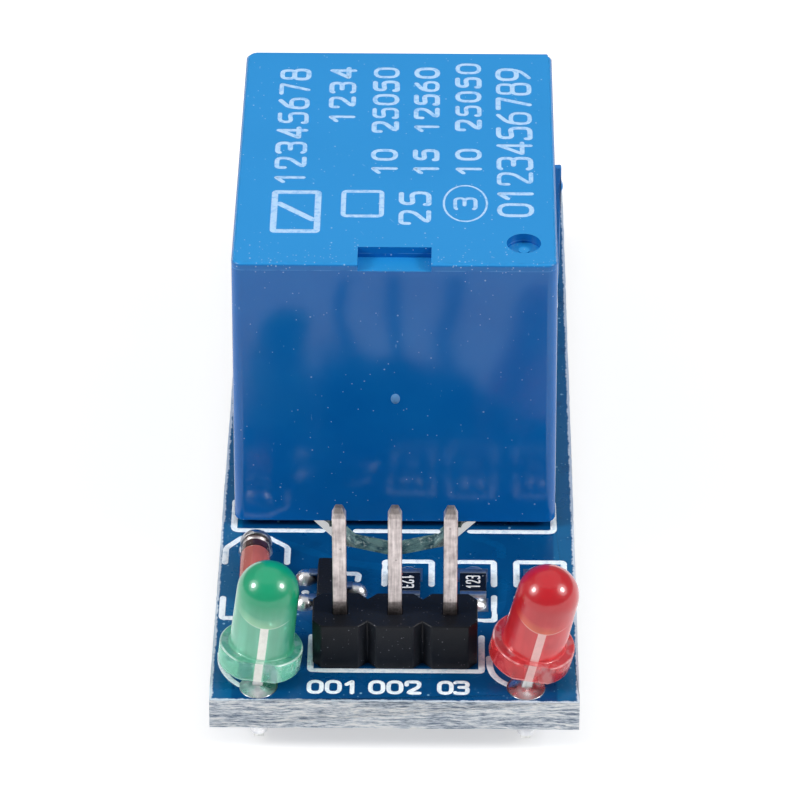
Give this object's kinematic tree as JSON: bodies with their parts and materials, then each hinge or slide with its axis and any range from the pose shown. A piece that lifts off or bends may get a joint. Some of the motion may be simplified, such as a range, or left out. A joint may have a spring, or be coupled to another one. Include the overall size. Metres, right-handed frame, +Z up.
{
  "type": "relay module board",
  "caption": "Small blue circuit board with a sealed relay, pin header, two indicator lamps and a screw terminal block.",
  "frame": {"origin": "middle of the board in plan, on the plane that the clipped pins under the board stand on", "axes": "+X to the right seen from the pin header, +Y from the header end to the screw terminals, +Z up"},
  "size_m": [0.017, 0.043, 0.0183],
  "materials": {
    "board_laminate": "blue solder mask over pale glass laminate",
    "solder": "bright tin solder",
    "header_plastic": "black moulded",
    "pin_metal": "tin plated",
    "green_lens": "clear green epoxy",
    "red_lens": "clear red epoxy",
    "lead_metal": "tin plated",
    "chip_crystal": "semiconductor chip",
    "transistor_plastic": "black moulded",
    "resistor_ceramic": "black glaze on ceramic",
    "cap_tin": "tin plated",
    "diode_glass": "clear glass",
    "stud_metal": "copper-clad stud with tinned rim",
    "relay_blue": "slightly translucent blue",
    "relay_base_plastic": "blue moulded",
    "relay_resin": "poured resin",
    "bobbin_plastic": "white moulded",
    "copper_wire": "enamelled copper",
    "magnet_steel": "plated soft iron",
    "spring_bronze": "bronze strip",
    "contact_silver": "silver alloy",
    "strip_copper": "tinned copper strip",
    "terminal_blue": "blue moulded",
    "screw_steel": "zinc plated",
    "cage_steel": "nickel plated",
    "contact_tin": "tin plated"
  },
  "bodies": {
    "board": {"circuit_board": "board_laminate", "header_solder": "solder", "led_solder": "solder", "relay_solder": "solder", "terminal_solder": "solder", "surface_solder": "solder", "header_housing": "header_plastic", "header_pin_1": "pin_metal", "header_pin_2": "pin_metal", "header_pin_3": "pin_metal", "diode_glass": "diode_glass", "diode_chip": "chip_crystal", "diode_cathode_stud": "stud_metal", "diode_anode_stud": "stud_metal", "transistor_body": "transistor_plastic", "transistor_legs": "lead_metal", "green_led_lens": "green_lens", "green_led_cathode": "lead_metal", "green_led_anode": "lead_metal", "green_led_chip": "chip_crystal", "red_led_lens": "red_lens", "red_led_cathode": "lead_metal", "red_led_anode": "lead_metal", "red_led_chip": "chip_crystal", "resistor_1_body": "resistor_ceramic", "resistor_1_caps": "cap_tin", "resistor_2_body": "resistor_ceramic", "resistor_2_caps": "cap_tin", "resistor_3_body": "resistor_ceramic", "resistor_3_caps": "cap_tin", "relay_cover": "relay_blue", "relay_base": "relay_base_plastic", "relay_resin": "relay_resin", "relay_bobbin": "bobbin_plastic", "relay_winding": "copper_wire", "relay_core": "magnet_steel", "relay_yoke": "magnet_steel", "relay_return_spring": "spring_bronze", "relay_common_terminal": "strip_copper", "relay_open_strip": "strip_copper", "relay_closed_strip": "strip_copper", "relay_fixed_contacts": "contact_silver", "relay_coil_pin_left": "pin_metal", "relay_coil_pin_right": "pin_metal", "terminal_housing": "terminal_blue", "clamp_contact_1": "contact_tin", "clamp_contact_2": "contact_tin", "clamp_contact_3": "contact_tin"},
    "armature": {"relay_armature": "magnet_steel", "relay_contact_blade": "spring_bronze", "relay_moving_contact": "contact_silver"},
    "screw_1": {"clamp_screw_1": "screw_steel"},
    "cage_1": {"clamp_cage_1": "cage_steel"},
    "screw_2": {"clamp_screw_2": "screw_steel"},
    "cage_2": {"clamp_cage_2": "cage_steel"},
    "screw_3": {"clamp_screw_3": "screw_steel"},
    "cage_3": {"clamp_cage_3": "cage_steel"}
  },
  "joints": [
    {"name": "armature_swing", "type": "hinge", "parent": "board", "child": "armature", "pos_m": [-0.00014, -0.00514, 0.01423], "axis": [-1, 0, 0], "range_deg": [0, 3], "stiffness_Nm_per_rad": 0.002, "springref_deg": -1.15},
    {"name": "screw_1_turn", "type": "hinge", "parent": "board", "child": "screw_1", "pos_m": [-0.00508, 0.01585, 0.0119], "axis": [0, 0, -1], "range_deg": [0, 1600.8]},
    {"name": "cage_1_lift", "type": "slide", "parent": "board", "child": "cage_1", "axis": [0, 0, 1], "range_m": [0, 0.002]},
    {"name": "screw_2_turn", "type": "hinge", "parent": "board", "child": "screw_2", "pos_m": [0, 0.01585, 0.0119], "axis": [0, 0, -1], "range_deg": [0, 1600.8]},
    {"name": "cage_2_lift", "type": "slide", "parent": "board", "child": "cage_2", "axis": [0, 0, 1], "range_m": [0, 0.002]},
    {"name": "screw_3_turn", "type": "hinge", "parent": "board", "child": "screw_3", "pos_m": [0.00508, 0.01585, 0.0119], "axis": [0, 0, -1], "range_deg": [0, 1600.8]},
    {"name": "cage_3_lift", "type": "slide", "parent": "board", "child": "cage_3", "axis": [0, 0, 1], "range_m": [0, 0.002]}
  ],
  "couplings": [
    {"joint": "screw_1_turn", "follows": "cage_1_lift", "rad_per_m": 13963},
    {"joint": "screw_2_turn", "follows": "cage_2_lift", "rad_per_m": 13963},
    {"joint": "screw_3_turn", "follows": "cage_3_lift", "rad_per_m": 13963}
  ]
}
